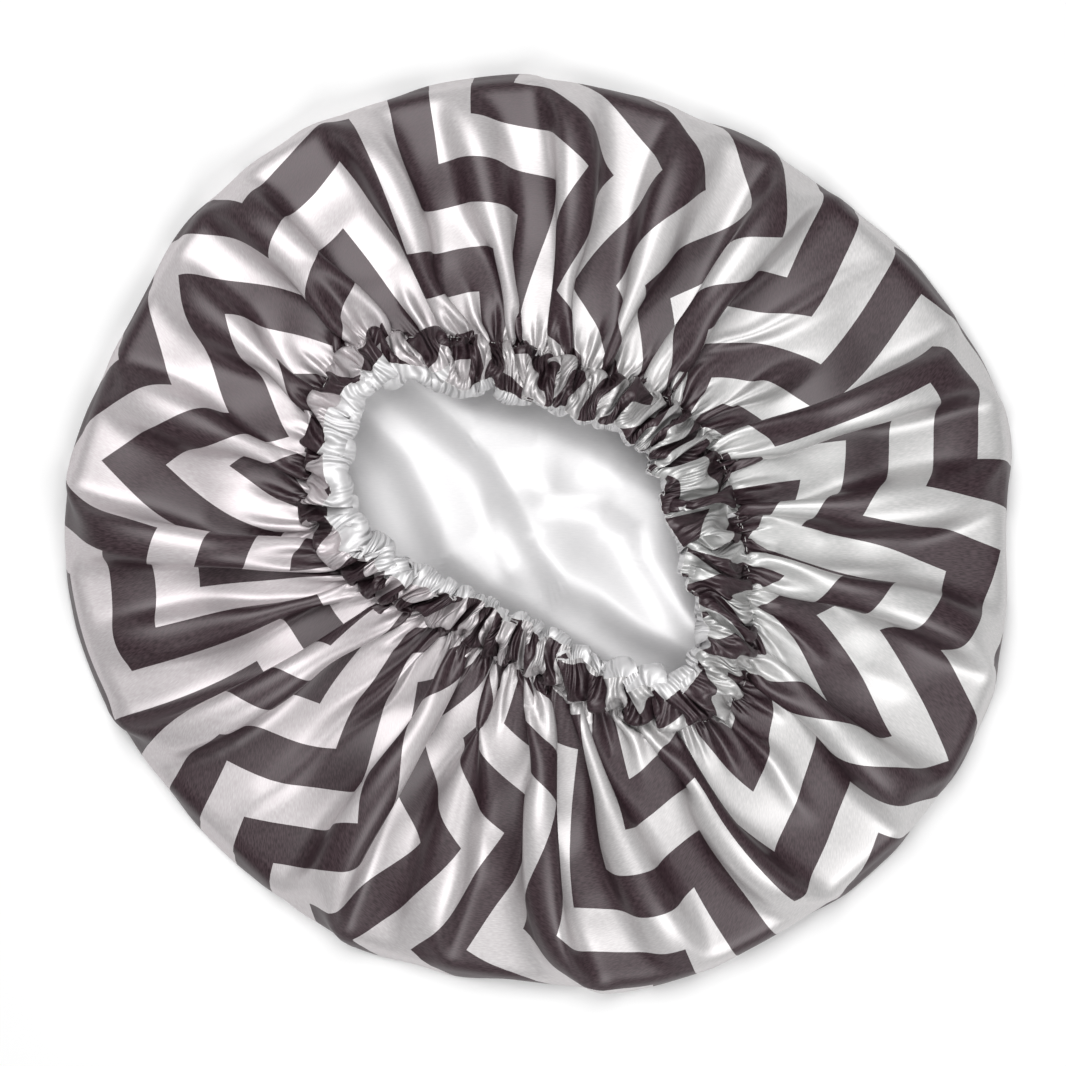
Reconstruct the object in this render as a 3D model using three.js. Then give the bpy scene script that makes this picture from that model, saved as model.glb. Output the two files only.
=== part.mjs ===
// A hair bonnet of two layers of satin, gathered on an elastic, lying on its crown with its mouth up.
// Every size is in millimetres.
// The origin is on the floor under the middle of the bonnet, with +Z up.

import * as THREE from "three";

// The laid bonnet.
const width = 350; // across it from left to right
const depth = 337; // across it from front to back
const rimHeight = 14; // of the rounded fold that runs round its rim
const seamHeight = 20.5; // of the casing seam above the floor
const mouthHeight = 33; // of the sewn mouth edge above the floor
const mouthLength = 150; // the longest way across the mouth
const casingWidth = 22; // of the gathered band, seen from above

// How far the cloth stands up in its folds.
const foldHeight = 15; // of the largest fold of the skirt, from valley to crest
const puffHeight = 1.5; // of the casing's cloth above the elastic and the thread that joins it
const gatherHeight = 3; // of a gather of the casing
const ridgeHeight = 3.4; // of the soft ridges on the lining's floor

// Cloth, elastic and thread.
const clothThickness = 0.7; // the cloth is drawn thicker than satin is, so that it is a solid
const clearance = 0.35; // between layers that lie on each other
const stitchClearance = 0.6; // between the seam thread and the cloth edges at its sides
const elasticWidth = 12;
const elasticThickness = 1.2;
const elasticLap = 14; // length of the two ends that lie on each other
const elasticRamp = 18; // length in which the upper end climbs onto the lower one
const threadSize = 0.6;

// Outlines as shares, every 15 degrees, counted anticlockwise from the right.
// The rim follows an ellipse of the bonnet's width and depth.
const rimShares = [
  0.985, 1.013, 0.983, 0.963, 0.96, 0.963, 0.987, 0.989, 1.001, 0.997, 0.97, 0.976,
  0.998, 0.98, 0.964, 0.951, 0.973, 0.976, 0.983, 1.02, 1.014, 1.012, 1.022, 1.009,
];
// The mouth edge is given as shares of half its length.
const mouthShares = [
  0.65, 0.62, 0.635, 0.63, 0.595, 0.573, 0.6, 0.673, 0.8, 1.0, 0.99, 0.9,
  0.8, 0.62, 0.47, 0.412, 0.393, 0.4, 0.444, 0.55, 0.72, 0.95, 0.876, 0.73,
];
// The casing seam lies this share of the casing's width outside the mouth edge.
const casingShares = [
  1.13, 1.12, 1.05, 0.9, 0.82, 0.85, 0.9, 0.93, 0.93, 0.8, 0.72, 0.7,
  0.8, 0.88, 0.76, 0.7, 0.7, 0.76, 0.8, 0.85, 0.95, 0.95, 1.05, 1.1,
];

// The skirt's main folds: the direction of each valley in degrees, and each crest's share of height.
const valleyDegrees = [
  -2, 13, 26, 43, 64, 75, 90, 104, 119, 138, 156, 172, 190, 202, 217, 231, 247, 264, 280, 294, 318, 334, 345,
];
const crestShares = [
  0.85, 0.4, 0.8, 1, 0.15, 0.8, 0.8, 0.4, 0.3, 0.6, 0.55, 0.9, 0.8, 1, 0.7, 1, 0.9, 1, 0.7, 0.2, 0.7, 0.3, 0.9,
];
const valleyShare = 0.1; // how much of the fold height a valley lies below the smooth skirt

// Rows of the skirt from the rim's fold to the seam: way in, climb towards the seam, fold strength.
const skirtRowShares = [
  { way: 0, climb: 0, fold: 0.2 },
  { way: 0.3, climb: 0.05, fold: 1 },
  { way: 0.65, climb: 0.35, fold: 0.85 },
  { way: 1, climb: 1, fold: 0.3 },
];
const curlFoldShare = 0.08; // fold strength halfway up the rim's rounded fold

// Rows of the casing from its seam to the mouth edge: place on its slope, belly and gather strength.
const casingRowShares = [
  { slope: 0, belly: 0, gather: 0.5 },
  { slope: 0.22, belly: 1, gather: 1 },
  { slope: 0.78, belly: 1, gather: 1 },
  { slope: 1, belly: 0, gather: 0.6 },
];

// Rings of the crowns, as shares of the way from the middle to the rim's fold.
const outerCrownRingShares = [0.5, 1];
const liningCrownRingShares = [0.16, 0.3, 0.45, 1];
const ridgeDirection = THREE.MathUtils.degToRad(-40);
const ridgeSpacingShare = 0.5; // from ridge to ridge, of the mouth's length
const ridgeOffsetShare = 0.12; // the nearest ridge beside the middle, of the mouth's length

// The elastic's lap and the wavy thread that sews it.
const lapPlaceShare = 0.06; // where the elastic starts, of the way round the casing
const waveMarginShare = 0.1; // of the lap left free at each end of the thread
const waveReachShare = 0.125; // how far the thread swings to each side, of the elastic's width
const waveCount = 2;

// Counts of steps round the bonnet.
const stepsPerFold = 4;
const gatherCount = 50;
const stepsPerGather = 3;
const elasticSteps = 84;
const threadSteps = 84;
const threadSides = 6;
const outlineSteps = 720; // for measuring lengths along the outlines
const waveSteps = 48; // of the thread that sews the elastic's lap

const turn = 2 * Math.PI;

// A closed, smooth curve through values spaced evenly round the bonnet.
function around(shares, angle) {
  const place = THREE.MathUtils.euclideanModulo(angle / turn, 1) * shares.length;
  const first = Math.floor(place);
  const part = place - first;
  const [a, b, c, d] = [-1, 0, 1, 2].map((k) => shares[(first + k + shares.length) % shares.length]);
  return b + (part / 2) * (c - a + part * (2 * a - 5 * b + 4 * c - d + part * (3 * (b - c) + d - a)));
}

function polar(radius, angle) {
  return new THREE.Vector2(radius * Math.cos(angle), radius * Math.sin(angle));
}

// Directions of the skirt's rows of points: each fold has its valley, two flanks and its crest.
const valleys = valleyDegrees.map(THREE.MathUtils.degToRad);
const skirtSteps = valleys.flatMap((valley, fold) => {
  const next = fold + 1 < valleys.length ? valleys[fold + 1] : valleys[0] + turn;
  return Array.from({ length: stepsPerFold }, (_, k) => {
    const phase = k / stepsPerFold;
    const rise = (crestShares[fold] * (1 - Math.cos(turn * phase))) / 2;
    return { angle: valley + (next - valley) * phase, lift: rise - valleyShare };
  });
});
const liningSteps = skirtSteps.filter((_, k) => k % 2 === 0);

// The rim, moved and stretched so that its box is exactly the bonnet's width and depth.
function looseRim(angle) {
  const across = (width / 2) * (depth / 2);
  const ellipse = across / Math.hypot((depth / 2) * Math.cos(angle), (width / 2) * Math.sin(angle));
  return polar(ellipse * around(rimShares, angle), angle);
}
const looseBox = new THREE.Box2().setFromPoints(skirtSteps.map(({ angle }) => looseRim(angle)));
const looseMiddle = looseBox.getCenter(new THREE.Vector2());
const looseSize = looseBox.getSize(new THREE.Vector2());
function rimPoint(angle) {
  const loose = looseRim(angle).sub(looseMiddle);
  return loose.multiply(new THREE.Vector2(width / looseSize.x, depth / looseSize.y));
}

function mouthPoint(angle) {
  return polar((mouthLength / 2) * around(mouthShares, angle), angle);
}
function seamRadius(angle) {
  return mouthPoint(angle).length() + casingWidth * around(casingShares, angle);
}

// The two triangles of each four-sided cell between neighbouring rings of points.
// A first ring of one point is the middle of a round sheet.
function skinFaces(rings) {
  const round = rings[1].length;
  const start = (row) => (row === 0 ? 0 : rings[0].length + (row - 1) * round);
  const faces = [];
  for (let row = 0; row + 1 < rings.length; row += 1) {
    for (let k = 0; k < round; k += 1) {
      const after = (k + 1) % round;
      const [c, d] = [start(row + 1) + k, start(row + 1) + after];
      if (rings[row].length === 1) faces.push([0, d, c]);
      else faces.push([start(row) + k, start(row) + after, d], [start(row) + k, d, c]);
    }
  }
  return faces;
}

// A closed body from the rings of its upper face and the matching rings of its lower face.
// Both faces are divided alike, so that the sheet keeps its thickness in its folds.
function closedSheet(upper, lower) {
  const points = [...upper.flat(), ...lower.flat()];
  const under = upper.flat().length;
  const skin = skinFaces(upper);
  const faces = [...skin, ...skin.map(([a, b, c]) => [a + under, c + under, b + under])];
  const round = upper[1].length;
  const wall = (start, turned) => {
    for (let k = 0; k < round; k += 1) {
      const [a, b] = [start + k, start + ((k + 1) % round)];
      const pair = [[a, b, a + under], [b, b + under, a + under]];
      faces.push(...(turned ? pair.map(([p, q, r]) => [p, r, q]) : pair));
    }
  };
  wall(under - round, false);
  if (upper[0].length > 1) wall(0, true);
  return solid(points, faces);
}

// A closed body from a section of points carried along a path, which may close on itself.
function closedSweep(sections, closed) {
  const sides = sections[0].length;
  const points = sections.flat();
  const faces = [];
  const last = closed ? sections.length : sections.length - 1;
  for (let row = 0; row < last; row += 1) {
    const next = (row + 1) % sections.length;
    for (let k = 0; k < sides; k += 1) {
      const [a, b] = [row * sides + k, row * sides + ((k + 1) % sides)];
      const [c, d] = [next * sides + k, next * sides + ((k + 1) % sides)];
      faces.push([a, b, d], [a, d, c]);
    }
  }
  if (!closed) {
    const end = (sections.length - 1) * sides;
    for (let k = 1; k < sides - 1; k += 1) {
      faces.push([0, k + 1, k], [end, end + k, end + k + 1]);
    }
  }
  return solid(points, faces);
}

// A geometry with its faces turned outwards.
function solid(points, faces) {
  let volume = 0;
  for (const [a, b, c] of faces) {
    volume += points[a].dot(new THREE.Vector3().crossVectors(points[b], points[c]));
  }
  const outward = volume > 0 ? faces : faces.map(([a, b, c]) => [a, c, b]);
  const geometry = new THREE.BufferGeometry().setFromPoints(points);
  geometry.setIndex(outward.flat());
  geometry.computeVertexNormals();
  return geometry;
}

// Crown and skirt. Depth is counted from the outer face of the outer cloth into the bonnet.
const foldRadius = rimHeight / 2;
const outerDepths = [0, clothThickness];
const liningDepths = [clothThickness + clearance, 2 * clothThickness + clearance];
const seamSlot = threadSize + 2 * stitchClearance;

// A point on the way in from the rim to the casing seam.
function inward(angle, way, height) {
  const rim = rimPoint(angle);
  const inner = polar(seamRadius(angle) + seamSlot, angle);
  const at = rim.lerp(inner, way / rim.distanceTo(inner));
  return new THREE.Vector3(at.x, at.y, height);
}

// The rim's rounded fold: from under the bonnet at minus a quarter turn to its top at a quarter turn.
function curlPoint(angle, curl, sunk, middleHeight, lift) {
  const radius = foldRadius - sunk;
  const height = middleHeight + radius * Math.sin(curl) + lift;
  return inward(angle, foldRadius - radius * Math.cos(curl), height);
}

function ridge(point) {
  const across = point.y * Math.cos(ridgeDirection) - point.x * Math.sin(ridgeDirection);
  const phase = across / (mouthLength * ridgeSpacingShare) - ridgeOffsetShare;
  return (ridgeHeight * (1 + Math.cos(turn * phase))) / 2;
}

function crownRings(steps, ringShares, sunk, curls, ridged) {
  const flat = ringShares.map((share) =>
    steps.map(({ angle }) => {
      const edge = curlPoint(angle, -turn / 4, sunk, foldRadius, 0);
      const point = new THREE.Vector3(edge.x * share, edge.y * share, sunk);
      if (ridged && share < 1) point.z += ridge(point);
      return point;
    }),
  );
  const middle = new THREE.Vector3(0, 0, sunk);
  if (ridged) middle.z += ridge(middle);
  const curled = curls.map((curl) =>
    steps.map(({ angle }) => curlPoint(angle, curl, sunk, foldRadius, 0)),
  );
  return [[middle], ...flat, ...curled];
}

function skirtRings(steps, sunk, curls, folded) {
  const middleHeight = foldRadius + clearance;
  const lifts = steps.map(({ lift }) => foldHeight * (folded ? lift : -valleyShare));
  const curled = curls.map(({ curl, fold }) =>
    steps.map(({ angle }, k) => curlPoint(angle, curl, sunk, middleHeight, lifts[k] * fold)),
  );
  const rimTop = middleHeight + foldRadius;
  const slope = skirtRowShares.map(({ way, climb, fold }) =>
    steps.map(({ angle }, k) => {
      const edge = polar(seamRadius(angle) + seamSlot, angle);
      const run = rimPoint(angle).distanceTo(edge);
      const height = THREE.MathUtils.lerp(rimTop, seamHeight, climb) + lifts[k] * fold - sunk;
      return inward(angle, THREE.MathUtils.lerp(foldRadius, run, way), height);
    }),
  );
  return [...curled, ...slope];
}

// The casing: a sloping band from its seam up to the mouth edge, gathered evenly along its length.
const outlineLengths = [0];
for (let k = 1; k <= outlineSteps; k += 1) {
  const [from, to] = [k - 1, k].map((step) => (turn * step) / outlineSteps);
  const stretch = polar(seamRadius(from), from).distanceTo(polar(seamRadius(to), to));
  outlineLengths.push(outlineLengths[k - 1] + stretch);
}
const seamLength = outlineLengths[outlineSteps];

// The direction at a share of the casing's length, counted anticlockwise from the right.
function angleAt(share) {
  const whole = Math.floor(share);
  const wanted = (share - whole) * seamLength;
  const after = Math.max(1, outlineLengths.findIndex((length) => length >= wanted));
  const [low, high] = [outlineLengths[after - 1], outlineLengths[after]];
  return turn * (whole + (after - 1 + (wanted - low) / (high - low)) / outlineSteps);
}

// A point of the casing: a share of the way up its slope, and a height off its middle plane.
function casingPoint(angle, slope, height) {
  const mouth = mouthPoint(angle).length();
  const run = seamRadius(angle) - mouth;
  const rise = mouthHeight - seamHeight;
  const length = Math.hypot(run, rise);
  const at = polar(seamRadius(angle) - run * slope + (height * rise) / length, angle);
  return new THREE.Vector3(at.x, at.y, seamHeight + rise * slope + (height * run) / length);
}
function slopeLength(angle) {
  return Math.hypot(seamRadius(angle) - mouthPoint(angle).length(), mouthHeight - seamHeight);
}

const casingSteps = Array.from({ length: gatherCount * stepsPerGather }, (_, k) => ({
  angle: angleAt(k / (gatherCount * stepsPerGather)),
  gather: k % stepsPerGather === 0 ? 1 : 0,
}));

// At its edges each layer of the casing just clears the thread that sews it.
const edgeOffset = threadSize / 2 + clearance;
const lapRise = elasticThickness + clearance;
const outerBelly = elasticThickness / 2 + lapRise + clearance + threadSize + puffHeight;
const liningBelly = elasticThickness / 2 + clearance;

function casingRings(side, bellyOffset, sunk, shift) {
  return casingRowShares.map(({ slope, belly, gather }) =>
    casingSteps.map(({ angle }, k) => {
      const { gather: strength } = casingSteps[(k + shift) % casingSteps.length];
      const offset = THREE.MathUtils.lerp(edgeOffset, bellyOffset, belly);
      return casingPoint(angle, slope, side * (offset + sunk + gatherHeight * gather * strength));
    }),
  );
}

// The elastic: one strip once round the casing, with its end climbing onto its start.
const elasticSpan = 1 + elasticLap / seamLength;
function elasticHeight(share) {
  const ramp = elasticRamp / seamLength;
  return lapRise * THREE.MathUtils.smoothstep(share, 1 - ramp, 1);
}
function elasticSection(share) {
  const angle = angleAt(lapPlaceShare + share);
  const half = elasticWidth / 2 / slopeLength(angle);
  const middle = elasticHeight(share);
  const [low, high] = [middle - elasticThickness / 2, middle + elasticThickness / 2];
  return [
    casingPoint(angle, 0.5 - half, low),
    casingPoint(angle, 0.5 + half, low),
    casingPoint(angle, 0.5 + half, high),
    casingPoint(angle, 0.5 - half, high),
  ];
}

// A ring of thread: a round section carried once round the mouth, at a place on the casing.
function threadRing(slope, outwards) {
  return Array.from({ length: threadSteps }, (_, k) => {
    const angle = angleAt(k / threadSteps);
    const middle = casingPoint(angle, slope, 0);
    const radial = polar(1, angle);
    return Array.from({ length: threadSides }, (_, side) => {
      const out = outwards + (threadSize / 2) * Math.cos((turn * side) / threadSides);
      const up = (threadSize / 2) * Math.sin((turn * side) / threadSides);
      return new THREE.Vector3(middle.x + radial.x * out, middle.y + radial.y * out, middle.z + up);
    });
  });
}

// The wavy row of stitches that sews the lapped ends of the elastic, lying on the upper end.
function joinThread() {
  const height = lapRise + elasticThickness / 2 + clearance + threadSize / 2;
  const lap = elasticLap / seamLength;
  const points = Array.from({ length: waveSteps + 1 }, (_, k) => {
    const share = THREE.MathUtils.lerp(waveMarginShare, 1 - waveMarginShare, k / waveSteps);
    const angle = angleAt(lapPlaceShare + lap * share);
    const reach = elasticWidth * waveReachShare * Math.sin((turn * waveCount * k) / waveSteps);
    return casingPoint(angle, 0.5 + reach / slopeLength(angle), height);
  });
  const section = new THREE.Shape(
    Array.from({ length: threadSides }, (_, k) => polar(threadSize / 2, (turn * k) / threadSides)),
  );
  const path = new THREE.CatmullRomCurve3(points);
  return new THREE.ExtrudeGeometry(section, { steps: waveSteps, extrudePath: path });
}

const printedSatin = { color: 0x8f878b, roughness: 0.38, metalness: 0 };
const whiteSatin = { color: 0xf1eef0, roughness: 0.3, metalness: 0 };
const wovenElastic = { color: 0xe9e7e2, roughness: 0.85, metalness: 0 };
const polyesterThread = { color: 0xf4f2f0, roughness: 0.6, metalness: 0 };

const bonnet = new THREE.Group();
function add(name, geometry, finish) {
  const mesh = new THREE.Mesh(geometry, new THREE.MeshStandardMaterial(finish));
  mesh.name = name;
  bonnet.add(mesh);
}

const eighth = turn / 8;
const outerCrown = outerDepths.map((sunk) =>
  crownRings(skirtSteps, outerCrownRingShares, sunk, [-eighth, 0], false),
);
add("outer_crown", closedSheet(...outerCrown), printedSatin);

const outerCurls = [{ curl: 0, fold: 0 }, { curl: eighth, fold: curlFoldShare }];
const outerSkirt = outerDepths.map((sunk) => skirtRings(skirtSteps, sunk, outerCurls, true));
add("outer_skirt", closedSheet(...outerSkirt), printedSatin);

const outerCasing = [0, clothThickness].map((sunk) => casingRings(1, outerBelly, sunk, 0));
add("outer_casing", closedSheet(...outerCasing), printedSatin);

const liningCrown = liningDepths.map((sunk) =>
  crownRings(liningSteps, liningCrownRingShares, sunk, [0], true),
);
add("lining_crown", closedSheet(...liningCrown), whiteSatin);

const liningSkirt = liningDepths.map((sunk) =>
  skirtRings(liningSteps, sunk, [{ curl: 0, fold: 0 }], false),
);
add("lining_skirt", closedSheet(...liningSkirt), whiteSatin);

const liningCasing = [0, clothThickness].map((sunk) => casingRings(-1, liningBelly, sunk, 1));
add("lining_casing", closedSheet(...liningCasing), whiteSatin);

const strip = Array.from({ length: elasticSteps + 1 }, (_, k) =>
  elasticSection((elasticSpan * k) / elasticSteps),
);
add("elastic_band", closedSweep(strip, false), wovenElastic);
add("elastic_join_thread", joinThread(), polyesterThread);

const slotMiddle = threadSize / 2 + stitchClearance;
add("casing_seam_thread", closedSweep(threadRing(0, slotMiddle), true), polyesterThread);
add("edge_seam_thread", closedSweep(threadRing(1, 0), true), polyesterThread);

export default bonnet;
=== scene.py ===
import math

import bpy
import numpy as np
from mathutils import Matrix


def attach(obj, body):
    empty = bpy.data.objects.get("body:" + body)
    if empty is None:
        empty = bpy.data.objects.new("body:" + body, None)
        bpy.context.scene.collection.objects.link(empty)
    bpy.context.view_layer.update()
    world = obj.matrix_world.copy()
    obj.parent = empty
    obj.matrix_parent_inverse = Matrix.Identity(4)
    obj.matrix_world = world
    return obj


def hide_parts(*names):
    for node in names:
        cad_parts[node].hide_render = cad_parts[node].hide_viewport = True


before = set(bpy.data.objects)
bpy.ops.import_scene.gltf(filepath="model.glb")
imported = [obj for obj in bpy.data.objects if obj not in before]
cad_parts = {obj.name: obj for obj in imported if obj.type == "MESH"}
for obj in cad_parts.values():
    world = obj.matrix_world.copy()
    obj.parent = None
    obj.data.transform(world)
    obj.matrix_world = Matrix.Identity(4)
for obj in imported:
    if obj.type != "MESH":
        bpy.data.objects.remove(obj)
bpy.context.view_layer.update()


# Printed outer cloth, how it is laid
# One disc of thin printed satin, 0.6 m across. It lies on its crown, curls up round the rim and comes back in as the
# skirt, and its edge is gathered round the elastic as the casing. One net of points follows it on into the lining.
COLUMNS = 960                           # one for each direction of the flat disc
CROWN_RINGS, SKIRT_RINGS, CASING_RINGS, TURNED_RINGS = 8, 44, 16, 12
SEAM = CROWN_RINGS + SKIRT_RINGS        # the ring that is sewn down outside the elastic
EDGE = SEAM + CASING_RINGS              # the ring where printed cloth and lining meet
RINGS = EDGE + TURNED_RINGS + 1
RIM_ROUND = 7.0                         # millimetres, as every length until the net becomes a mesh
RIM_DRAWN_IN = 0.982
CROWN_MARGIN = 9.0
SKIRT_ARCH = 0.8
SKIRT_EASE = 1.03
CASING_EASE = 1.15
SEAM_TUCKED_IN = 0.9
TUBE_ABOVE, TUBE_BELOW = 5.0, 3.5
# How far the lining rolls out over the elastic, in radians round the casing, every 15 degrees from the right.
LINING_ROLLED_OVER = (0.15, 0.15, 0.125, 0.125, 0.15, 0.175, 0.175, 0.3, 0.65, 0.9, 1.1, 1.1,
                      1.1, 1.0, 0.6, 0.35, 0.25, 0.25, 0.3, 0.5, 0.75, 0.65, 0.35, 0.175)
# The cloth's run from rim to seam isn't quite radial: each rim direction, and the seam direction that it comes to.
RIM_DEGREES = (0, 16, 34, 51, 90, 135, 181, 197, 210, 240, 267, 295, 315, 340, 360)
SEAM_DEGREES = (0, 18, 33, 47, 90, 135, 186, 196, 206, 238, 267, 296, 317, 341, 360)
DIRECTION_SMOOTHINGS = 60
OUTLINE_WAVES = 30
directions = np.radians(np.arange(0, 360, 2))


def outline(node, widest=False):
    """The radius of a node at every second degree, smoothed, and its mean height."""
    points = np.array([v.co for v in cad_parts[node].data.vertices]) * 1000
    radius = np.hypot(points[:, 0], points[:, 1])
    angle = np.arctan2(points[:, 1], points[:, 0])
    off = [1 - np.cos(angle - direction) for direction in directions]
    if widest:
        line = np.array([radius[away < 0.001].max() for away in off])
    else:
        line = np.array([np.average(radius, weights=np.exp(-2500 * (away - away.min()))) for away in off])
    waves = np.fft.rfft(line)
    waves[OUTLINE_WAVES:] = 0
    return np.fft.irfft(waves, len(line)), points[:, 2].mean()


def reach(line, angle):
    """The radius of an outline in any direction."""
    return np.interp(angle, directions, line, period=2 * math.pi)


rim_line = outline("outer_skirt", widest=True)[0] * RIM_DRAWN_IN
seam_line, seam_height = outline("casing_seam_thread")
seam_line = seam_line - SEAM_TUCKED_IN
mouth_line, mouth_height = outline("edge_seam_thread")

rim_angle = 2 * math.pi * np.arange(COLUMNS) / COLUMNS
towards = np.exp(1j * np.radians(np.interp(np.degrees(rim_angle), RIM_DEGREES, SEAM_DEGREES)))
for _ in range(DIRECTION_SMOOTHINGS):
    towards = 0.25 * np.roll(towards, 1) + 0.5 * towards + 0.25 * np.roll(towards, -1)
seam_angle = np.unwrap(np.angle(towards))

outwards = np.c_[np.cos(seam_angle), np.sin(seam_angle)]
rim_radius = reach(rim_line, rim_angle)
seam_radius = reach(seam_line, seam_angle)
mouth_radius = reach(mouth_line, seam_angle)
rim_points = rim_radius[:, None] * np.c_[np.cos(rim_angle), np.sin(rim_angle)]
seam_points = seam_radius[:, None] * outwards
skirt_run = np.linalg.norm(seam_points - rim_points, axis=1)
inwards = (seam_points - rim_points) / skirt_run[:, None]
quarter = math.pi / 2 * RIM_ROUND
slope = np.hypot(skirt_run - RIM_ROUND, seam_height - 2 * RIM_ROUND)


def laid_at(along):
    """Where the cloth lies, by the way along it from the rim's widest point: over the top, or under if negative."""
    bend = np.clip(along / RIM_ROUND, -math.pi / 2, math.pi / 2)
    share = (along - quarter) / slope
    depth = np.where(along < -quarter, RIM_ROUND - along - quarter, RIM_ROUND * (1 - np.cos(bend)))
    depth = np.where(along > quarter, RIM_ROUND + (skirt_run - RIM_ROUND) * share, depth)
    height = np.where(along < -quarter, 0, RIM_ROUND * (1 + np.sin(bend)))
    rise = 2 * RIM_ROUND + (seam_height - 2 * RIM_ROUND) * np.clip(share, 0, 1) ** SKIRT_ARCH
    return np.c_[rim_points + inwards * depth[:, None], np.where(along > quarter, rise, height)]


tube_half = 0.5 * np.hypot(seam_radius - mouth_radius, mouth_height - seam_height)
tube_out = (mouth_radius - seam_radius) / (2 * tube_half)
tube_up = (mouth_height - seam_height) / (2 * tube_half)


def tube_at(turn):
    """Where the casing lies, by the angle round it: none at the seam, half a turn at the mouth, then back again."""
    across = -tube_half * np.cos(turn)
    off = np.where(np.sin(turn) > 0, TUBE_ABOVE, TUBE_BELOW) * np.sin(turn)
    radius = 0.5 * (seam_radius + mouth_radius) + tube_out * across + tube_up * off
    return np.c_[outwards * radius[:, None], 0.5 * (seam_height + mouth_height) + tube_up * across - tube_out * off]


turns = np.linspace(0, 2 * math.pi, 121)
loop_lengths = np.linalg.norm(np.diff([tube_at(np.full(COLUMNS, t)) for t in turns], axis=0), axis=2)
loop_lengths = np.concatenate([np.zeros((1, COLUMNS)), np.cumsum(loop_lengths, axis=0)])
roll_angles = np.linspace(0, 360, len(LINING_ROLLED_OVER), endpoint=False)
rolled = np.interp(np.degrees(seam_angle), roll_angles, LINING_ROLLED_OVER, period=360)
to_edge = np.array([np.interp(math.pi - rolled[j], turns, loop_lengths[:, j]) for j in range(COLUMNS)])
skirt_length = (quarter + slope) * SKIRT_EASE

net = np.zeros((RINGS, COLUMNS, 3))
flat_radius = np.zeros((RINGS, COLUMNS))
for ring in range(RINGS):
    if ring <= CROWN_RINGS:
        along = np.full(COLUMNS, -(quarter + CROWN_MARGIN) * (1 - ring / CROWN_RINGS))
        net[ring], flat_radius[ring] = laid_at(along), rim_radius + along
    elif ring <= SEAM:
        share = (ring - CROWN_RINGS) / SKIRT_RINGS
        net[ring], flat_radius[ring] = laid_at((quarter + slope) * share), rim_radius + skirt_length * share
    else:
        along = to_edge * (ring - SEAM) / CASING_RINGS
        if ring > EDGE:
            along = to_edge + (loop_lengths[-1] - to_edge) * (ring - EDGE) / TURNED_RINGS
        net[ring] = tube_at(np.array([np.interp(along[j], loop_lengths[:, j], turns) for j in range(COLUMNS)]))
        flat_radius[ring] = rim_radius + skirt_length + along * CASING_EASE
flat_radius[EDGE + 1:] = 2 * flat_radius[EDGE] - flat_radius[EDGE + 1:]

# Printed outer cloth, where it folds
# The disc's edge is nearly four times as long as the elastic that holds it. The extra length stands in small gathers
# at the seam, which run together outwards into two dozen broad lobes that overlap in part and die out at the rim.
FOLD_VALLEYS = (3, 16, 36, 48, 63, 77, 92, 106, 121, 137, 150, 165,
                185, 200, 213, 230, 248, 267, 283, 297, 313, 330, 346)      # degrees from the right
OVERLAPS = (-0.6, -1, 1, -0.8, 0, 0, -0.5, 0, 0, 0.8, 0.8, 0,
            0.9, 0.9, 0.8, 0, 0, -0.8, 0, -0.5, 0, 0.7, -0.8)               # how far, and which side lies on top
OVERLAP_FADE = 0.3                      # share of the skirt, next to the seam, in which the overlaps end
LAYER_HEIGHT = 2.3
GATHERS = 132
FOLD_HEIGHT, FOLD_LEAN = 7.5, 1.0
HALF_FOLD_HEIGHT, HALF_FOLDS_FROM, HALF_FOLD_START = 1.2, 0.35, 0.7
GATHER_HEIGHT, GATHERS_FROM, GATHERS_RUN = 1.2, 0.7, 0.3
STITCHED_HEIGHT, STITCHED_SWAY = 1.2, 0.35
SEAM_OUTSIDE, SEAM_INSIDE = 0.6, 0.8    # how far either cloth lies off the seam's middle
PUFF, PUFF_SWAY = 0.5, 0.3
UNEVENNESS = 0.04
SKIRT_HELD_BACK, CASING_HELD_BACK = 0.45, 0.45      # how far the fullest parts stay behind their whole fullness

laid_spacing = np.linalg.norm(np.roll(net, -1, axis=1) - net, axis=2)
fullness = np.maximum(2 * flat_radius * math.sin(math.pi / COLUMNS) / laid_spacing, 1) - 1
held_back = np.where(np.arange(RINGS) > SEAM, CASING_HELD_BACK, SKIRT_HELD_BACK)[:, None]
fullness = fullness / (1 + held_back * fullness)
full_spacing = laid_spacing * (1 + fullness)
ring_spacing = np.linalg.norm(np.diff(net, axis=0), axis=2)
ring_spacing[CROWN_RINGS:SEAM] = skirt_length / SKIRT_RINGS
ring_spacing[SEAM:] *= CASING_EASE

valleys = np.radians(FOLD_VALLEYS + (FOLD_VALLEYS[0] + 360,))
overlaps = np.array(OVERLAPS + OVERLAPS[:1])
placed = (rim_angle - valleys[0]) % (2 * math.pi) + valleys[0]
fold = np.clip(np.searchsorted(valleys, placed, side="right") - 1, 0, len(valleys) - 2)
fold_width = valleys[fold + 1] - valleys[fold]
fold_share = (placed - valleys[fold]) / fold_width
fold_turn = 2 * math.pi * fold_share
seam_steps = np.linalg.norm(np.diff(np.r_[seam_points, seam_points[:1]], axis=0), axis=1)
round_seam = np.cumsum(seam_steps) / seam_steps.sum() - seam_steps / seam_steps.sum()


def wander(*waves):
    """A slow irregular wave round the seam, from (size, times round, start) of each part."""
    return sum(size * np.sin(2 * math.pi * times * round_seam + start) for size, times, start in waves)


def softened(values):
    """Values round a ring, each one blended with its neighbours."""
    return sum(weight * np.roll(values, k) for k, weight in zip(range(-3, 4), (1, 2, 3, 4, 3, 2, 1))) / 16


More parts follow.
